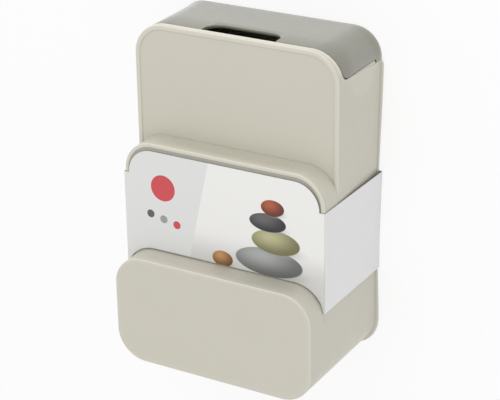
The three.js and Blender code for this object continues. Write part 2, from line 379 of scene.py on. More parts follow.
def noiseNode(tree, place, scale, detail):
    node = tree.nodes.new("ShaderNodeTexNoise")
    node.inputs["Detail"].default_value = detail
    feed(tree, node.inputs["Vector"], place)
    feed(tree, node.inputs["Scale"], scale)
    return node.outputs["Fac"]


def objectPlace(tree):
    return tree.nodes.new("ShaderNodeTexCoord").outputs["Object"]


skinLook = {
    "drift": (14.0, 3.0),  # scale and detail of its noise
    "grainDetail": 2.0,
    "grainShare": 0.25,  # of the tone, and the rest is drift
    "rubbing": (90.0, 4.0),
    "rubbingRange": (0.3, 0.7),  # noise over which the roughness goes from low to high
}


def makeGrainGroup(look):
    # moulded skin: slow drift of tone, fine spark grain, and faint rubbing in the gloss
    inputs = {
        "Colour": "NodeSocketColor",
        "Drift Colour": "NodeSocketColor",
        "Grain Scale": "NodeSocketFloat",
        "Low Roughness": "NodeSocketFloat",
        "High Roughness": "NodeSocketFloat",
    }
    outputs = {"Colour": "NodeSocketColor", "Roughness": "NodeSocketFloat", "Height": "NodeSocketFloat"}
    group, given, result = newGroup("mouldedSkin", inputs, outputs)
    place = objectPlace(group)
    drift = noiseNode(group, place, *look["drift"])
    grain = noiseNode(group, place, given.outputs["Grain Scale"], look["grainDetail"])
    rubbing = noiseNode(group, place, *look["rubbing"])
    slow = mathNode(group, "MULTIPLY", drift, 1 - look["grainShare"])
    tone = mathNode(group, "ADD", slow, mathNode(group, "MULTIPLY", grain, look["grainShare"]))
    colour = colourMix(group, tone, given.outputs["Colour"], given.outputs["Drift Colour"])
    limits = given.outputs["Low Roughness"], given.outputs["High Roughness"]
    gloss = rampNode(group, rubbing, *look["rubbingRange"], *limits)
    for socketName, value in (("Colour", colour), ("Roughness", gloss), ("Height", grain)):
        group.links.new(value, result.inputs[socketName])
    return group


def makeSpotGroup():
    # soft-edged oval: 1 inside, 0 outside, by distance over the half widths
    inputs = {
        "Place": "NodeSocketVector",
        "Centre": "NodeSocketVector",
        "Half Widths": "NodeSocketVector",
        "Edge": "NodeSocketFloat",
    }
    group, given, result = newGroup("ovalSpot", inputs, {"Mask": "NodeSocketFloat"})
    values = given.outputs["Place"]
    for operation, other in (("SUBTRACT", "Centre"), ("DIVIDE", "Half Widths")):
        node = group.nodes.new("ShaderNodeVectorMath")
        node.operation = operation
        group.links.new(values, node.inputs[0])
        group.links.new(given.outputs[other], node.inputs[1])
        values = node.outputs["Vector"]
    reach = group.nodes.new("ShaderNodeVectorMath")
    reach.operation = "LENGTH"
    group.links.new(values, reach.inputs[0])
    inside = mathNode(group, "SUBTRACT", 1.0, given.outputs["Edge"])
    group.links.new(rampNode(group, reach.outputs["Value"], inside, 1.0, 1.0, 0.0), result.inputs["Mask"])
    return group


mouldedSkin = makeGrainGroup(skinLook)
ovalSpot = makeSpotGroup()


def newMaterial(name):
    material = bpy.data.materials.new(name)
    material.use_nodes = True
    tree = material.node_tree
    return material, tree, tree.nodes["Principled BSDF"]


def useGroup(tree, group, **values):
    # an underscore stands for the blank in a socket's name
    node = tree.nodes.new("ShaderNodeGroup")
    node.node_tree = group
    for socketName, value in values.items():
        feed(tree, node.inputs[socketName.replace("_", " ")], value)
    return node


def spotMask(tree, place, centre, halfWidths, edge):
    spot = useGroup(tree, ovalSpot, Place=place, Centre=centre, Half_Widths=halfWidths, Edge=edge)
    return spot.outputs["Mask"]


def toneMark(tree):
    node = tree.nodes.new("ShaderNodeAttribute")
    node.attribute_name = "tone"
    return node.outputs["Fac"]


def addBump(tree, shader, height, strength, distance):
    bump = tree.nodes.new("ShaderNodeBump")
    bump.inputs["Strength"].default_value = strength
    bump.inputs["Distance"].default_value = distance
    tree.links.new(height, bump.inputs["Height"])
    tree.links.new(bump.outputs["Normal"], shader.inputs["Normal"])


def plasticMaterial(name, look):
    material, tree, shader = newMaterial(name)
    skin = useGroup(
        tree,
        mouldedSkin,
        Colour=look["colour"],
        Drift_Colour=look["drift"],
        Grain_Scale=look["grain"],
        Low_Roughness=look["roughness"][0],
        High_Roughness=look["roughness"][1],
    )
    colour, roughness = skin.outputs["Colour"], skin.outputs["Roughness"]
    # the tone attribute lightens or darkens the colour: painted highlight and painted shade
    if "paintedLightScale" in look:
        lift = tree.nodes.new("ShaderNodeHueSaturation")
        lightness = mathNode(tree, "ADD", mathNode(tree, "MULTIPLY", toneMark(tree), look["paintedLightScale"]), 1.0)
        tree.links.new(lightness, lift.inputs["Value"])
        tree.links.new(colour, lift.inputs["Color"])
        colour = lift.outputs["Color"]
    if "seal" in look:
        seal = look["seal"]
        spot = spotMask(tree, objectPlace(tree), seal["centre"], seal["halfWidths"], seal["edge"])
        colour = colourMix(tree, mathNode(tree, "MULTIPLY", spot, seal["share"]), colour, seal["colour"])
        roughness = mathNode(tree, "SUBTRACT", roughness, mathNode(tree, "MULTIPLY", spot, seal["gloss"]))
    tree.links.new(colour, shader.inputs["Base Color"])
    tree.links.new(roughness, shader.inputs["Roughness"])
    if "gloss" in look:  # clear outer skin, which shines toward grazing views
        for socketName, value in zip(("Coat Weight", "Coat Roughness", "Coat IOR"), look["gloss"]):
            shader.inputs[socketName].default_value = value
    addBump(tree, shader, skin.outputs["Height"], look["bump"], look["bumpDepth"])
    return material


# Clear round seal over the seam, a faint tint and gloss on both the shell and the drawer
sealSpot = {
    "centre": (-104.5 * mm, -133.4 * mm, 38.0 * mm),
    "halfWidths": (30.0 * mm, 24.5 * mm, 24.5 * mm),
    "edge": 0.04,
}

# Shell: one open-bottomed moulding with three decks
shellLook = {
    "wall": 2.5 * mm,
    "deckThickness": 3.0 * mm,
    "edgeRound": 1.0 * mm,
    "edgeSides": 6,
    "rimSides": 6,
    "softSides": 3,  # in the small rounds of the rims and the lip
    "edgeStart": 4.0 * mm,  # how far under a deck its edge rows begin
    "rimWidth": (4.3 * mm, 3.6 * mm, 4.3 * mm),  # lower, middle, upper deck
    "rimDepth": (1.0 * mm, 0.9 * mm, 0.3 * mm),
    "rimSoft": 0.2 * mm,
    "rimCrown": 0.25 * mm,
    "footWidth": (1.8 * mm, 3.8 * mm, 1.8 * mm),  # strip along the foot of a rim, darkened with painted shade by the foot tone
    "footFall": 0.03 * mm,
    "apron": 7.6 * mm,
    "apronDrop": 1.8 * mm,  # how much deeper the apron is at the sides
    "seam": 26.5 * mm,  # from the front face to the opening's rear edge
    "openingRound": 7.0 * mm,
    "openingSides": 9,
    "openingSkip": 5,  # every so many of the corner's rows go on beside the opening
    "openingLean": 3.6 * mm,  # how far back the rear edge leans toward the base
    "leanHeight": 62.0 * mm,
    "leanPower": 1.5,  # how slowly the lean begins
    "leanRows": 9,
    "openingSoft": 0.8 * mm,  # on the apron's edge too
    "openingSoftSides": 4,
    "openingReturn": 4.0 * mm,  # where the edge's return meets the inside of the wall
    "flangeEnd": 28.0 * mm,  # from the front face to the end of the drawer's flange
    "flangeGap": 0.5 * mm,  # between the edge and the end of the drawer's flange
    "tongue": (1.3 * mm, 4.1 * mm),  # how far in and forward the edge is drawn out above the flange
    "tongueFoot": 13.8 * mm,
    "tongueStep": 0.3 * mm,  # half the height in which the edge steps at the tongue's foot
    "lipProud": (1.8 * mm, 2.4 * mm),  # at the front, at the back
    "lipBow": 1.2 * mm,  # how much less it stands out half way along
    "lipHeight": 2.6 * mm,
    "lipSoft": 0.5 * mm,
    "lipFillet": 3.2 * mm,
    "lipFilletShare": 0.45,
    "lipSides": 6,
    "lipSwell": 0.9 * mm,  # how much more it stands out at the back corners
    "lipStart": 3.4 * mm,  # behind the seam
    "lipRamp": 3.5 * mm,
    "join": 2.0 * mm,  # how far an edge runs on into the tier behind it
    "bossRadius": 3.5 * mm,
    "bossBottom": 4.8 * mm,
    "bossLength": 22.0 * mm,
    "bossSides": 20,
    "webShare": (0.7, 0.5),  # where a boss's web begins and half its thickness, by the boss's radius
    "pilotRadius": 1.6 * mm,
    "pilotDepth": 12.0 * mm,
    "colour": (0.600, 0.578, 0.492, 1.0),
    "drift": (0.575, 0.555, 0.472, 1.0),
    "paintedLightScale": 0.06,  # how much lighter a tone of 1 makes the colour as painted highlight; below 0 it paints shade
    # painted light on the apron's outside
    "apronPaintedLight": 2.6,
    "lipPaintedHighlight": 1.5,  # painted highlight on the lip's upper edge
    "hollowPaintedShade": -2.2,  # painted shade in the lip's hollow
    "edgePaintedHighlight": 3.2,  # painted highlight on the decks' rounded edges
    "rimPaintedLight": (1.3, 1.1, 0.4),  # painted light on their rims
    "crease": (0.7 * mm, 1.6 * mm),  # painted shade line at a riser's foot, and where it has faded out
    "creasePaintedShade": -2.6,
    "footPaintedShade": (-0.5, -5.0, 0),  # painted shade along the foot of a rim
    "grain": 2600.0,
    "roughness": (0.42, 0.52),
    "gloss": (0.3, 0.35, 1.5),
    "bump": 0.12,
    "bumpDepth": 0.05 * mm,
    "seal": {
        **sealSpot,
        "colour": (0.68, 0.665, 0.6, 1.0),
        "share": 0.16,
        "gloss": 0.1,
    },
}
apronZ = deckZ[0] - shellLook["apron"]
seamY = frontY + shellLook["seam"]


def edgeProfile(tier, look):
    # up the wall, a quarter round, across the rim's low crown and down into the deck's shallow recess
    r, soft, crown = [look[key] for key in ("edgeRound", "rimSoft", "rimCrown")]
    rim, depth, foot, pale, dark = [
        look[key][tier] for key in ("rimWidth", "rimDepth", "footWidth", "rimPaintedLight", "footPaintedShade")
    ]
    deck = deckZ[tier]
    side, fall = deck - crown, min(soft, (depth - crown) / 2)
    turn, down = quarterTurn(look["edgeSides"]), quarterTurn(look["softSides"])[1:]
    across = np.linspace(0, 1, look["rimSides"] + 1)[1:]
    inset = [[0, 0], r - r * np.cos(turn), r + (rim - soft - r) * across]
    z = [[deck - look["edgeStart"], side - r - soft], side - r + r * np.sin(turn)]
    z.append(deck - crown * (2 * across - 1) ** 2)
    inset += [rim - soft + soft * np.sin(down), rim + soft - soft * np.cos(down)]
    z += [side - fall + fall * np.cos(down), deck - depth + fall - fall * np.sin(down)]
    # painted highlight on the rounded edge, painted light across the rim, then painted shade toward its
    # foot
    bright = np.maximum(look["edgePaintedHighlight"] * np.sin(2 * turn), pale * np.sin(turn))
    tone = [[0, 0], bright, np.full_like(across, pale)]
    tone.append(pale + (dark - pale) * np.linspace(0, 1, 2 * len(down)))
    # along the rim's foot a narrow strip, which falls a little to the floor and carries painted shade
    strip = np.array([0.5, 1.0])
    inset.append(rim + soft + foot * strip)
    z.append(deck - depth - look["footFall"] * strip)
    tone.append([dark, 0])
    return [np.concatenate(values) for values in (inset, z, tone)]


def apronEdge(share, look):
    # height of the apron's lower edge, by how far the outline has turned to the side
    return apronZ - look["apronDrop"] * share**2


def openingEdge(look):
    # rear edge of the drawer's opening, going up: a leaning line, then a quarter round into the apron
    r, foot, step = look["openingRound"], look["tongueFoot"], look["tongueStep"]
    high = apronEdge(np.cos(np.radians(seamAngle(frontY, seamY - r))), look) - r
    line = np.linspace(foot + step, high, look["leanRows"])
    line = np.concatenate([[baseZ, foot / 2, foot - step], line])
    turn = quarterTurn(look["openingSides"])[1:]
    low = np.clip((high - line) / look["leanHeight"], 0.0, 1.0) ** look["leanPower"]
    besideFlange = frontY + look["flangeEnd"] + look["flangeGap"]
    leaning = np.where(line > foot, seamY + look["openingLean"] * low, besideFlange)
    y = np.concatenate([leaning, seamY - r + r * np.cos(turn)])
    z = np.concatenate([line, high + r * np.sin(turn)])
    awayY = np.concatenate([np.ones_like(line), np.cos(turn)])
    awayZ = np.concatenate([np.zeros_like(line), np.sin(turn)])
    tongue = np.concatenate([low * (line > foot), np.zeros_like(turn)])
    return [value[:, None] for value in (y, z, awayY, awayZ, tongue)]


def openingPatches(look, endY):
    # both side walls beside the drawer's opening, with the opening's softened edge and its return inside
    wall, soft, back = look["wall"], look["openingSoft"], look["openingReturn"]
    inward, forward = look["tongue"]
    edgeY, edgeZ, awayY, awayZ, tongue = openingEdge(look)
    turn = quarterTurn(look["openingSoftSides"])
    one = np.ones_like(tongue)
    inset = [wall * one, wall * one, soft + (inward - soft) * tongue, soft * (1 - np.sin(turn)) * one]
    away = [back * one, -forward * tongue, -forward * tongue, soft * (1 - np.cos(turn)) * one]
    inset, away = np.hstack(inset), np.hstack(away)
    # painted highlight along the opening's softened edge
    tone = np.concatenate([np.zeros(3), look["edgePaintedHighlight"] * np.sin(2 * turn)])
    bend = cornerRun(frontY + corner, seamAngle(frontY, edgeY[-1, 0]) - 180, -180)
    bend = bend[:: look["openingSkip"]]
    topY = np.concatenate([frontY + corner + corner * bend[:-1, 3], sideStations(frontY + corner, endY)])
    share = (topY - topY[0]) / (endY - topY[0])

    def skin(distance, top, depth):
        # straight rows from beside the edge to where the wall goes on
        startY = np.vstack([edgeY + distance * awayY, edgeY[-1:]])
        z = np.vstack([edgeZ + distance * awayZ, [[top]]])
        return startY + (endY - startY) * share, z, depth

    outside = skin(soft, deckZ[0] - look["edgeStart"], 0.0)
    inside = skin(back, deckZ[0] - look["deckThickness"], wall)
    patches = []
    for side in (-1, 1):
        edge = sideGrid(side, edgeY + away * awayY, edgeZ + away * awayZ, inset)
        foot = sideGrid(side, edgeY[:1] + back, edgeZ[:1], np.zeros((1, 1)))
        ring = np.concatenate([edge[0, 1:], foot[0], edge[0, :1]])
        patches.append(gridPatch(edge, over=side > 0, tone=tone))
        patches.append(flatPatch(ring, over=side > 0))
        patches.append(gridPatch(sideGrid(side, *outside), over=side > 0))
        patches.append(gridPatch(sideGrid(side, *inside), over=side < 0))
    return patches


def lipPatches(look):
    # lip round the base: a flat top with a hollow into the wall, its inner side sunk in the wall
    start, ramp, soft = seamY + look["lipStart"], look["lipRamp"], look["lipSoft"]
    turn, quarter = quarterTurn(look["lipSides"]), quarterTurn(look["softSides"])[1:]
    rampRun = sideRun(start + ramp * (1 - np.cos(turn)))
    path = joinRuns(rampRun, backPath(start + ramp), rampRun[::-1] * mirror)
    along = np.clip((path[:, 1] - start) / (backY - start), 0.0, 1.0)
    atFront, atBack = look["lipProud"]
    proud = atFront + (atBack - atFront) * along
    rise = 1 - np.clip((path[:, 1] - start) / ramp, 0.0, 1.0)
    proud = (proud - look["lipBow"] * bowShare(path[:, 1])) * np.sqrt(1 - rise**2)
    proud = proud + look["lipSwell"] * (2 * path[:, 2] * path[:, 3]) ** 2
    high, hollow, share = baseZ + look["lipHeight"], look["lipFillet"], look["lipFilletShare"]
    # rows of the section: share of the lip's reach, and height
    softShare = soft / bodyForm["lip"]
    reach = [[1 - softShare], np.ones(2), 1 - softShare * (1 - np.cos(quarter))]
    z = [[baseZ], [baseZ + soft, high - soft], high - soft + soft * np.sin(quarter)]
    reach.append(share * (1 - np.sin(turn)))
    z.append(high + hollow * (1 - np.cos(turn)))
    reach, z = np.concatenate(reach), np.concatenate(z)
    sunk = np.full_like(proud, look["wall"] / 2)
    inset = np.vstack([sunk, -reach[:, None] * proud, sunk])
    z = np.concatenate([[baseZ], z, z[-1:]])
    # painted highlight on the lip's upper edge and painted shade in its hollow
    upper = np.full(1 + len(quarter), look["lipPaintedHighlight"])
    tone = np.concatenate([[0, 0, 0], upper, look["hollowPaintedShade"] * np.sin(2 * turn), [0]])[:, None]
    lip = bodyGrid(path, inset, z)
    ends = [flatPatch(lip[:, 0]), flatPatch(lip[:, -1], over=True)]
    return [gridPatch(lip, closeRows=True, tone=tone), *ends]


def postPatches(x, y, radius, bottom, top, look):
    # round post with a blind pilot hole in its foot: rings of (radius, height)
    angle = np.linspace(0, 2 * np.pi, look["bossSides"], endpoint=False)
    hole, roof = look["pilotRadius"], bottom + look["pilotDepth"]
    rings = np.array([(0, roof), (hole, roof), (hole, bottom), (radius, bottom), (radius, top), (0, top)])
    grid = np.stack(
        [
            x + rings[:, :1] * np.cos(angle),
            y + rings[:, :1] * np.sin(angle),
            rings[:, 1:] + np.zeros_like(angle),
        ],
        axis=-1,
    )
    return [gridPatch(grid, over=True, closeColumns=True)]


def boxPatches(low, high):
    # six sides of a block, from its lowest and highest corner
    x, y, z = [np.array([low[i], high[i]]) for i in range(3)]
    ring = np.array([(0, 0), (1, 0), (1, 1), (0, 1)])
    rows = [np.column_stack([x[ring[:, 0]], y[ring[:, 1]], np.full(4, level)]) for level in z]
    sides = gridPatch(np.stack(rows), over=True, closeColumns=True)
    return [sides, flatPatch(rows[0], over=True), flatPatch(rows[1])]


def shellPatches(look):
    wall, thick, start = look["wall"], look["deckThickness"], look["edgeStart"]
    joinY = [front + corner + look["join"] for front in tierY]
    patches = []

    def surface(path, inset, z, over=False, tone=0.0):
        patches.append(gridPatch(bodyGrid(path, inset, z), over=over, tone=tone))

    # outside and inside of the walls behind the lower deck, from the back forward
    flat, inner = [0.0] * 3, [wall] * 3
    surface(backPath(joinY[2]), flat, [baseZ, deckZ[0], topZ - start])
    surface(backPath(joinY[2]), inner, [baseZ, deckZ[0], topZ - thick], over=True)
    strip = sideRun(sideStations(joinY[1], joinY[2]))
    for run in (strip, strip[::-1] * mirror):
        surface(run, flat, [baseZ, deckZ[0], deckZ[1] - start])
        surface(run, inner, [baseZ, deckZ[0], deckZ[1] - thick], over=True)
    patches.extend(openingPatches(look, joinY[1]))

    # apron: down its inside, under its edge and up its outside, which is lightened with painted light
    soft, turn = look["openingSoft"], quarterTurn(look["openingSoftSides"])
    path = frontPath(tierY[0], seamY - look["openingRound"])
    low = apronEdge(path[:, 2], look)
    inset = np.concatenate([[wall, wall], soft * (1 - np.sin(turn)), [0.0]])
    under, upper = np.full_like(low, deckZ[0] - thick), np.full_like(low, deckZ[0] - start)
    z = np.vstack([under, low, low + soft * (1 - np.cos(turn))[:, None], upper])
    tone = np.full((len(inset), 1), look["apronPaintedLight"])
    tone[:2] = 0.0  # its inside
    surface(path, inset, z, tone=tone)

    # deck edges and floors, then the risers that stand on the floors
    for tier in range(2):
        inset, z, tone = edgeProfile(tier, look)
        path = frontPath(tierY[tier], joinY[tier + 1])
        # beside the riser behind, the edge ends half way into the riser's wall
        ahead = np.clip(tierY[tier + 1] + corner - path[:, 1], 0.0, corner)
        limit = np.where(ahead < corner, corner - np.sqrt(corner**2 - ahead**2) + wall / 2, corner)
        surface(path, np.minimum(inset[:, None], limit), z, tone=tone[:, None])
        bends = [frontPath(tierY[i], tierY[i] + corner) for i in (tier, tier + 1)]
        floor = [bodyGrid(bends[0], inset[-1:], z[-1:]), bodyGrid(bends[1], [0.0], z[-1:])]
        patches.append(gridPatch(np.concatenate(floor)))
        # a riser's foot is darkened with painted shade
        crease, fade = look["crease"]
        riserZ = [z[-1] - look["rimSoft"] * 2, z[-1] + crease, z[-1] + fade, deckZ[tier + 1] - start]
        riserTone = look["creasePaintedShade"] * np.array([[1.0], [1.0], [0.0], [0.0]])
        riser = frontPath(tierY[tier + 1], joinY[tier + 1])
        surface(riser, [0.0] * 4, riserZ, tone=riserTone)
        surface(riser, inner[:2], [deckZ[tier] - thick, deckZ[tier + 1] - thick], over=True)
        under = [bodyGrid(bend, [wall], [deckZ[tier] - thick]) for bend in bends]
        patches.append(gridPatch(np.concatenate(under), over=True))
    inset, z, tone = edgeProfile(2, look)
    edge = bodyGrid(loopPath(tierY[2]), inset, z)
    patches.append(gridPatch(edge, closeColumns=True, tone=tone[:, None]))
    patches.append(flatPatch(edge[-1], over=True))
    patches.append(flatPatch(bodyGrid(loopPath(tierY[2]), [wall], [topZ - thick])[0]))

    # underside of the walls, and the lip round them
    footY = openingEdge(look)[0][0, 0] + look["openingReturn"]
    surface(backPath(footY), [0.0, wall], [baseZ, baseZ], over=True)
    patches.extend(lipPatches(look))

    # screw bosses with a web to the wall
    for node in sorted(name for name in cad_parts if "_screw_" in name):
        low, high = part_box(node)
        x, y = (low.x + high.x) / 2, (low.y + high.y) / 2
        bottom, top = look["bossBottom"], look["bossBottom"] + look["bossLength"]
        radius = look["bossRadius"]
        patches.extend(postPatches(x, y, radius, bottom, top, look))
        webEnd = np.sign(x) * (halfWidth(top) - wallBow(y, bottom) - wall / 2)
        startShare, halfShare = look["webShare"]
        webX = sorted([x + np.sign(x) * radius * startShare, webEnd])
        webHalf = radius * halfShare
        patches.extend(boxPatches((webX[0], y - webHalf, bottom), (webX[1], y + webHalf, top)))
    return patches


shellPlastic = plasticMaterial("satinShellPlastic", shellLook)
makePiece("shellMoulding", shellPatches(shellLook), "body", ["tiered_shell"], shellPlastic)

# Drawer: wrapped front with a finger notch, tray and stop tabs
drawerLook = {
    "wall": 3.4 * mm,
    "edge": 1.2 * mm,
    "wrapEnd": (25.2 * mm, 24.9 * mm),  # behind the front face: at the top, above the flange
    "flangeTop": 13.0 * mm,
    "stepTop": 13.4 * mm,
    "baseCorner": 27.0 * mm,  # radius of the front corners at the base
    "cornerTop": 12.0 * mm,  # height by which it has grown to the body's radius
    "wrapRound": 6.2 * mm,
    "wrapSides": 8,
    "flatEnd": 0.97,  # last row of the flat face, by half its width
    "frontRows": (7.0 * mm, 30.0 * mm, 50.0 * mm),  # heights of further rows: one in the flange, two above
    "notchHalf": 37.25 * mm,
    "notchDepth": 19.0 * mm,
    "notchRadius": 13.5 * mm,
    "notchLead": 0.8 * mm,  # round where the notch runs out into the top edge
    "notchSides": 14,
    "notchSupport": 2.0 * mm,  # a row this far beside the notch's rounds
    "trayWall": 2.2 * mm,
    "trayFloor": 2.2 * mm,
    "trayHalf": 90.04 * mm,
    "trayBottom": 4.8 * mm,
    "trayTop": 74.9 * mm,
    "trayBack": 152.3 * mm,
    "trayCorner": 24.0 * mm,
    "trayStart": 6.2 * mm,  # how far behind the front face a tray side begins, inside the wall
    "floorRound": 3.0 * mm,
    "floorSides": 5,
    "topEdge": 76.6 * mm,
    "tabFront": 53.62 * mm,
    "tabLength": 14.0 * mm,
    "tabTop": 81.0 * mm,
    "colour": (0.196, 0.191, 0.143, 1.0),
    "drift": (0.182, 0.178, 0.134, 1.0),
    "grain": 2600.0,
    "roughness": (0.32, 0.36),
    "gloss": (1.0, 0.2, 1.7),
    "bump": 0.05,
    "bumpDepth": 0.05 * mm,
    "seal": {
        **sealSpot,
        "colour": (0.25, 0.25, 0.21, 1.0),
        "share": 0.2,
        "gloss": 0.08,
    },
}


def halfRound(radius):
    # how far the middle of a quarter round lies in from both its sides
    return radius * (1 - np.sqrt(0.5))


def notchLine(x, look):
    # top edge of the front: level, a small lead-in round, down the notch side, a round and the notch floor
    half, depth = look["notchHalf"], look["notchDepth"]
    big, small = look["notchRadius"], look["notchLead"]
    across = np.abs(x)
    lead = (across >= half) & (across < half + small)
    drop = np.where(lead, small - np.sqrt(np.maximum(small**2 - (half + small - across) ** 2, 0.0)), 0.0)
    bend = (across < half) & (across > half - big)
    drop = np.where(bend, depth - big + np.sqrt(np.maximum(big**2 - (across - half + big) ** 2, 0.0)), drop)
    return look["topEdge"] - np.where(across <= half - big, depth, drop)


def wrapGrid(look, turn, tail, z, inset):
    # round one front corner: angle shares up to the wrap's last stretch, then places along that stretch
    low = np.clip((look["cornerTop"] - z) / look["cornerTop"], 0.0, 1.0)
    radius = corner + (look["baseCorner"] - corner) * low
    step = np.clip((look["stepTop"] - z) / (look["stepTop"] - look["flangeTop"]), 0.0, 1.0)
    fade = np.clip((look["topEdge"] - z) / (look["topEdge"] - look["stepTop"]), 0.0, 1.0)
    atTop, atFlange = look["wrapEnd"]
    reach = atTop + (atFlange - atTop) * fade
    reach = reach + (shellLook["flangeEnd"] - reach) * step - look["wrapRound"]
    angle = np.arccos(1 - reach[:, : len(turn)] / radius[:, : len(turn)]) * turn
    along = radius[:, : len(turn)] * (1 - np.cos(angle))
    along = np.hstack([along, reach[:, len(turn) :] + look["wrapRound"] * np.sin(tail)])
    cosine = np.clip(1 - along / radius, 0.0, 1.0)
    sine = np.sqrt(1 - cosine**2)
    x = halfWidth(z) - radius + (radius - inset) * sine
    return np.stack([-x, frontY + along + inset * cosine, z], axis=-1)


def frontPatches(look):
    # closed section of the front: up the outside, over the softened top and down the inside
    edge, wall = look["edge"], look["wall"]
    half, big, small = look["notchHalf"], look["notchRadius"], look["notchLead"]
    steps, beside = quarterTurn(look["notchSides"]), look["notchSupport"]
    bend = half - big + big * np.sin(steps)
    lead = half + small - small * np.cos(steps)
    flatX = np.unique(np.concatenate([[0.0, half - big - beside], bend, lead, [half + small + beside]]))
    turn = np.linspace(0, 1, bodyForm["cornerSides"] + 1)
    tail = quarterTurn(look["wrapSides"])[1:]
    wrapTop = np.concatenate([0 * turn, look["wrapRound"] * (1 - np.cos(tail))])
    aside = wrapGrid(look, turn, tail, look["topEdge"] + 0 * wrapTop[None, :], 0.0)[0, :, 1] - frontY
    apronLow = apronEdge(np.sqrt(1 - (1 - aside / corner) ** 2), shellLook)
    wrapTop = apronLow + look["topEdge"] - apronZ - wrapTop
    top = np.concatenate([notchLine(flatX, look), [look["topEdge"]], wrapTop])

    soft = halfRound(edge)
    flangeRow, *upperRows = look["frontRows"]
    levels = np.array([baseZ + edge, flangeRow, look["flangeTop"], look["stepTop"], *upperRows])
    outside = np.vstack([levels[:, None] + 0 * top, top - edge])
    overTop = top + np.array([-soft, 0, 0, -soft])[:, None]
    underBase = baseZ + np.array([soft, 0, 0, soft])[:, None] + 0 * top
    z = np.vstack([outside, overTop, outside[::-1], underBase])
    rows, turned = len(outside), len(overTop)
    inset = np.concatenate([np.zeros(rows), [soft, edge, wall - edge, wall - soft], np.full(rows, wall)])
    inset = np.concatenate([inset, [wall - soft, wall - edge, edge, soft]])[:, None]

    count = len(flatX)
    flatHalf = halfWidth(z[:, count : count + 1]) - corner
    x = np.hstack([np.broadcast_to(flatX, (len(z), count)), look["flatEnd"] * flatHalf])
    face = np.stack([-x, frontY + inset + 0 * x, z[:, : count + 1]], axis=-1)
    left = np.concatenate([face, wrapGrid(look, turn, tail, z[:, count + 1 :], inset)], axis=1)
    right = left[:, :0:-1] * np.array([-1, 1, 1])
    front = np.concatenate([right, left], axis=1)

    patches = [gridPatch(front, closeRows=True)]
    for column, over in ((0, False), (-1, True)):
        ring = front[:, column]
        outer, inner = ring[:rows], ring[rows + turned : rows * 2 + turned][::-1]
        patches.append(gridPatch(np.stack([outer, inner]), over=not over))
        patches.append(flatPatch(ring[rows - 1 : rows + turned + 1], over=over))
        patches.append(flatPatch(np.concatenate([ring[-turned - 1 :], ring[:1]]), over=over))
    return patches


def drawerPatches(look):
    edge, wall = look["edge"], look["wall"]
    soft = halfRound(edge)
    patches = frontPatches(look)

    # tray side: a closed section carried along both sides and round the rear corners
    across, back, radius = look["trayHalf"], look["trayBack"], look["trayCorner"]
    startY = frontY + look["trayStart"]
    turn = np.radians(np.linspace(180, 90, bodyForm["cornerSides"] + 1))
    support = bodyForm["support"]
    sideY = np.array([startY, back - radius - support])
    rearX = across - radius
    flatX = np.array([support - rearX, 0.0, rearX - support])
    still = np.zeros_like(turn)
    leftSide = np.column_stack([np.full(2, -rearX), sideY, np.full(2, -1.0), np.zeros(2)])
    leftBend = np.column_stack([still - rearX, still + back - radius, np.cos(turn), np.sin(turn)])
    rear = np.column_stack([flatX, np.full(3, back - radius), np.zeros(3), np.ones(3)])
    trayPath = np.vstack([leftSide, leftBend, rear, leftBend[::-1] * mirror, leftSide[::-1] * mirror])

    low, high, side = look["trayBottom"], look["trayTop"], look["trayWall"]
    inner, floorRound = low + look["trayFloor"], look["floorRound"]
    fillet = quarterTurn(look["floorSides"])
    inset = [[edge, 0, 0, soft, edge, side - edge, side - soft, side]]
    inset.append(side + floorRound * (1 - np.cos(fillet)))
    z = [[low, low + edge, high - edge, high - soft, high, high, high - soft, high - edge]]
    z.append(inner + floorRound * (1 - np.sin(fillet)))
    inset, z = np.concatenate(inset)[:, None], np.concatenate(z)[:, None]
    x = trayPath[:, 0] + (radius - inset) * trayPath[:, 2]
    y = trayPath[:, 1] + (radius - inset) * trayPath[:, 3]
    tray = np.stack(np.broadcast_arrays(x, y, z), axis=-1)
    patches.append(gridPatch(tray))

    # floor: inside and underside run forward into the front wall
    frontCurve = bodyGrid(frontPath(frontY, frontY + corner), [wall / 2], [baseZ])[0]
    frontCurve = frontCurve[np.abs(frontCurve[:, 0]) < across - side]

    def floorRing(ring, level):
        # the tray's ring, closed along the front wall
        points = np.vstack([ring, frontCurve])
        points[:, 2] = level
        return points

    patches.append(flatPatch(floorRing(tray[-1], inner), over=True))
    patches.append(flatPatch(floorRing(tray[0], low)))
    for column, over in ((0, False), (-1, True)):
        patches.append(flatPatch(tray[:, column], over=over))

    # stop tabs on the tray's upper edge
    for sign in (-1, 1):
        tabX = sorted([sign * across, sign * (across - side)])
        tabY = (look["tabFront"], look["tabFront"] + look["tabLength"])
        patches.extend(boxPatches((tabX[0], tabY[0], high - side), (tabX[1], tabY[1], look["tabTop"])))
    return patches


drawerPlastic = plasticMaterial("satinDrawerPlastic", drawerLook)
makePiece("drawerMoulding", drawerPatches(drawerLook), "drawer", ["drawer"], drawerPlastic)

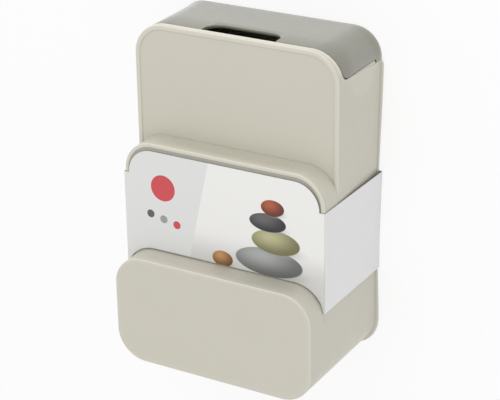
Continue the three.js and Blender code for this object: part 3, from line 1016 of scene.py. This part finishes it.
# Printed card: a generic design of smooth stones and discs beside a pale grey block, over coated board
printLook = {
    # bare board on the back, the cut edges, the worn folds and the glue line, kept dark so that the cut
    # edges also carry painted shade
    "raw": (0.30, 0.285, 0.26, 1.0),
    "sheet": (0.80, 0.80, 0.806, 1.0),  # sides and underside
    "block": (0.73, 0.735, 0.725, 1.0),
    "field": (0.84, 0.835, 0.815, 1.0),  # ground of the printed picture
    "table": (0.66, 0.655, 0.64, 1.0),  # the same toward the riser
    "tableStart": (16.0 * mm, 46.0 * mm),  # Y over which the one turns into the other
    "panelZ": 109.5 * mm,  # the print lies above this height
    "blockEdge": 24.0 * mm,  # X of the block's edge at Y 0
    "blockSlant": 0.22,
    "blockSoft": 0.2 * mm,
    "glueLine": {
        "centre": (12.0 * mm, 26.0 * mm, 0.6 * mm),
        "halfWidths": (0.6 * mm, 1.0, 2.0 * mm),
        "edge": 0.5,
        "share": 0.25,
    },
    "roughness": (0.42, 0.78),  # coated face, raw board
    "fibre": (900.0, 3.0),  # scale and detail of its noise
    "bump": 0.1,
    "bumpDepth": 0.05 * mm,
    "shadow": (0.36, 0.35, 0.33, 1.0),
    "shadowShare": 0.7,
    "stoneShadow": ((-0.25, 0.6), (1.15, 0.75), 0.9),  # shift and size by a stone's half widths, soft edge
    "stoneLight": ((0.25, -0.4), (1.3, 1.4), 1.0),
    "stoneEdge": 0.05,
    "stones": [  # centre and half widths in millimetres, lit colour, dark colour
        ((-48, 36), (35, 14), (0.40, 0.41, 0.40, 1.0), (0.13, 0.135, 0.13, 1.0)),
        ((-55, 15), (25, 12), (0.48, 0.47, 0.26, 1.0), (0.17, 0.16, 0.07, 1.0)),
        ((-47, -3), (19, 9), (0.12, 0.12, 0.12, 1.0), (0.02, 0.02, 0.02, 1.0)),
        ((-52, -18), (12, 8), (0.42, 0.10, 0.04, 1.0), (0.12, 0.02, 0.01, 1.0)),
        ((0, 43), (11, 8), (0.52, 0.28, 0.10, 1.0), (0.18, 0.07, 0.02, 1.0)),
    ],
    "discEdge": 0.03,
    "discs": [  # centre and radius in millimetres, colour
        ((62, -14), 13.0, (0.60, 0.065, 0.075, 1.0)),
        ((76, 14), 4.0, (0.10, 0.10, 0.10, 1.0)),
        ((62, 17), 4.0, (0.32, 0.32, 0.31, 1.0)),
        ((48, 20), 4.0, (0.60, 0.065, 0.075, 1.0)),
    ],
}


def cardMaterial(name, look):
    material, tree, shader = newMaterial(name)
    place = objectPlace(tree)
    apart = tree.nodes.new("ShaderNodeSeparateXYZ")
    tree.links.new(place, apart.inputs[0])
    x, y, z = apart.outputs

    def spot(centre, half, edge):
        # an oval on the top panel, its places and sizes in millimetres
        centre = (centre[0] * mm, centre[1] * mm, sleeveHigh.z)
        return spotMask(tree, place, centre, (half[0] * mm, half[1] * mm, 1.0), edge)

    def stoneSpot(key, centre, half):
        shift, size, edge = look[key]
        centre = [centre[i] + shift[i] * half[i] for i in range(2)]
        return spot(centre, [size[i] * half[i] for i in range(2)], edge)

    colour = colourMix(tree, rampNode(tree, y, *look["tableStart"]), look["field"], look["table"])
    for centre, half, light, dark in look["stones"]:
        shade = mathNode(tree, "MULTIPLY", stoneSpot("stoneShadow", centre, half), look["shadowShare"])
        colour = colourMix(tree, shade, colour, look["shadow"])
        skin = colourMix(tree, stoneSpot("stoneLight", centre, half), dark, light)
        colour = colourMix(tree, spot(centre, half, look["stoneEdge"]), colour, skin)
    slant = mathNode(tree, "SUBTRACT", x, mathNode(tree, "MULTIPLY", y, look["blockSlant"]))
    edge, soft = look["blockEdge"], look["blockSoft"]
    colour = colourMix(tree, rampNode(tree, slant, edge - soft, edge + soft), colour, look["block"])
    for centre, radius, ink in look["discs"]:
        colour = colourMix(tree, spot(centre, (radius, radius), look["discEdge"]), colour, ink)
    panel = mathNode(tree, "GREATER_THAN", z, look["panelZ"])
    colour = colourMix(tree, panel, look["sheet"], colour)
    glue = look["glueLine"]
    line = spotMask(tree, place, glue["centre"], glue["halfWidths"], glue["edge"])
    colour = colourMix(tree, mathNode(tree, "MULTIPLY", line, glue["share"]), colour, look["raw"])

    inked = toneMark(tree)
    fibre = noiseNode(tree, place, *look["fibre"])
    tree.links.new(colourMix(tree, inked, look["raw"], colour), shader.inputs["Base Color"])
    coated, bare = look["roughness"]
    tree.links.new(rampNode(tree, inked, 0.0, 1.0, bare, coated), shader.inputs["Roughness"])
    addBump(tree, shader, fibre, look["bump"], look["bumpDepth"])
    return material


# Card sleeve: one printed sheet folded into a loop round the middle deck
sleeveLook = {
    "card": 0.6 * mm,
    "gap": 0.3 * mm,
    "riserGap": 1.5 * mm,  # between the card's rear edge and the riser
    "foldRound": 0.9 * mm,
    "foldSides": 5,
    "foldWear": 0.3,  # share of the ink that is worn off along the folds
    "foldMargin": 0.4 * mm,  # the panel's rows end this far before its fold
    "panelInset": (4.6 * mm, 6.9 * mm),  # of the panel from the deck's edge, at the sides and in front
    "panelSides": 24,
    "panelRow": 30.0 * mm,  # X of a row in the panel's flat front
    "shoulder": 2.0 * mm,
    "shoulderStep": 0.3 * mm,  # within which the front edge steps back beside the panel
    "riserTurn": (70.0, 20),  # degrees and rows of the cut round the riser
    "baseRow": 60.0 * mm,  # X of a row on the underside
    "sideRows": 8,
    "lengthRows": 15,
    "setback": 32.0 * mm,
    "length": 98.0 * mm,
    "heel": 105.85 * mm,  # half the width at the base, where it lies close to the bowed walls
    "heelFlare": (1.3 * mm, 65.0 * mm),  # wider at its front end, and how far back that fades out
    "heelEnd": (0.35 * mm, 23.0 * mm),  # the same at its rear end
}


def sleevePatches(look):
    # section of the loop: four straight runs joined by small rounds, with its outward direction
    card, r = look["card"], look["foldRound"]
    high, low = sleeveHigh.z, sleeveLow.z
    foldX = halfWidth(deckZ[1]) + look["gap"] + card
    heelX = look["heel"]
    lean = np.arctan2(heelX - foldX, high - low)
    outX, outZ = np.cos(lean), np.sin(lean)

    def sideX(z):
        # x of the rounds' centres, a round's radius inside the leaning side
        return (foldX * outX + high * outZ - r - z * outZ) / outX

    turns = look["foldSides"] + 1
    topTurn = np.linspace(np.pi / 2, lean, turns)
    lowTurn = np.linspace(lean, -np.pi / 2, turns)
    sideInset, frontInset = look["panelInset"]
    panelHalf = halfWidth(deckZ[1]) - sideInset
    radius = corner - sideInset
    arcX = panelHalf - radius + radius * np.sin(quarterTurn(look["panelSides"]))
    around, bendX = corner + look["riserGap"], halfWidth(deckZ[1]) - corner
    cutEnd, cutRows = look["riserTurn"]
    riserX = bendX + around * np.sin(np.radians(np.linspace(0, cutEnd, cutRows)))
    shoulderX = [panelHalf + look["shoulderStep"], panelHalf + look["shoulder"]]
    topX = np.unique(np.concatenate([[0.0, look["panelRow"]], arcX, riserX, shoulderX]))
    upper, lower = high - r, low + r  # heights of the rounds' centres
    topX = topX[topX < sideX(upper) - look["foldMargin"]]
    sideZ = np.linspace(upper, lower, look["sideRows"])[1:-1]
    straight, fold, bottom = np.ones(len(topX)), np.ones(turns), np.ones(2)
    x = [topX, sideX(upper) * fold, sideX(sideZ), sideX(lower) * fold, [look["baseRow"], 0.0]]
    z = [upper * straight, upper * fold, sideZ, lower * fold, lower * bottom]
    angle = [np.pi / 2 * straight, topTurn, np.full(len(sideZ), lean), lowTurn, -np.pi / 2 * bottom]
    worn = 1 - look["foldWear"] + look["foldWear"] * np.abs(np.linspace(-1, 1, turns))
    inked = [straight, worn, np.ones(len(sideZ)), worn, bottom]
    onTop = np.arange(sum(len(run) for run in x)) < len(topX)
    x, z, angle, inked = [np.concatenate(runs) for runs in (x, z, angle, inked)]

    # front edge: the panel's round, then the shoulder; back edge: cut round the riser behind
    panelY = tierY[1] + frontInset
    sideFront = tierY[1] + look["setback"]
    sideBack = sideFront + look["length"]
    over = np.clip(x - (panelHalf - radius), 0.0, radius)
    arcY = panelY + radius - np.sqrt(radius**2 - over**2)
    onPanel = onTop & (x < panelHalf + look["shoulderStep"] / 2)
    yFront = np.where(onPanel, np.minimum(arcY, sideFront), sideFront)
    past = np.clip(x - bendX, 0.0, around)
    riserY = tierY[2] + corner - np.sqrt(around**2 - past**2)
    yBack = np.where(onTop, np.minimum(riserY, sideBack), sideBack)

    # the other half is the mirror image, and the two close the loop
    def both(values, sign=1):
        return np.concatenate([values, sign * values[-2:0:-1]])

    nx, nz = both(np.cos(angle), -1), both(np.sin(angle))
    x, z, yFront, yBack, inked = both(x, -1), both(z), both(yFront), both(yBack), both(inked)
    share = np.linspace(0, 1, look["lengthRows"])[:, None]
    y = yFront + (yBack - yFront) * share

    def skin(reach):
        # toward the base the sides spread a little at both ends
        (flare, flareFade), (end, endFade) = look["heelFlare"], look["heelEnd"]
        ahead = np.clip(1 - (y - sideFront) / flareFade, 0.0, 1.0)
        behind = np.clip(1 - (sideBack - y) / endFade, 0.0, 1.0)
        spread = flare * ahead + end * behind
        level = z + reach * nz
        wide = 1 + spread / heelX * np.clip((high - level) / (high - low), 0.0, 1.0)
        return np.stack(np.broadcast_arrays((x + reach * nx) * wide, y, level), axis=-1)

    sheet = np.concatenate([skin(r), skin(r - card)[::-1]])
    tone = np.concatenate([np.broadcast_to(inked, y.shape), np.zeros_like(y)])
    return [gridPatch(sheet, over=True, closeRows=True, closeColumns=True, tone=tone)]


printedCard = cardMaterial("printedCard", printLook)
makePiece("cardSleeve", sleevePatches(sleeveLook), "sleeve", ["card_sleeve"], printedCard)

# Runners, screws and feet keep their CAD shapes and get their own surfaces
smallLooks = {
    "runner": {
        "colour": (0.290, 0.288, 0.250, 1.0),
        "drift": (0.265, 0.262, 0.228, 1.0),
        "grain": 2200.0,
        "roughness": (0.45, 0.6),
        "bump": 0.15,
        "bumpDepth": 0.05 * mm,
    },
    "foot": {
        "colour": (0.045, 0.045, 0.047, 1.0),
        "drift": (0.070, 0.069, 0.067, 1.0),
        "grain": 1500.0,
        "roughness": (0.75, 0.95),
        "bump": 0.3,
        "bumpDepth": 0.08 * mm,
    },
    "screw": {
        "colour": (0.62, 0.63, 0.64, 1.0),
        "drift": (0.48, 0.48, 0.47, 1.0),
        "grain": 1800.0,
        "roughness": (0.26, 0.42),
        "bump": 0.1,
        "bumpDepth": 0.03 * mm,
        "metallic": 1.0,
    },
}
for kind, look in smallLooks.items():
    finish = plasticMaterial(kind + "Surface", look)
    finish.node_tree.nodes["Principled BSDF"].inputs["Metallic"].default_value = look.get("metallic", 0.0)
    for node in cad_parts:
        if kind in node.split("_")[1:] and ("screw" in node) == (kind == "screw"):
            bpy.data.objects[node].material_slots[0].material = finish
print("organiser: small parts surfaced")
print("organiser: pieces done")
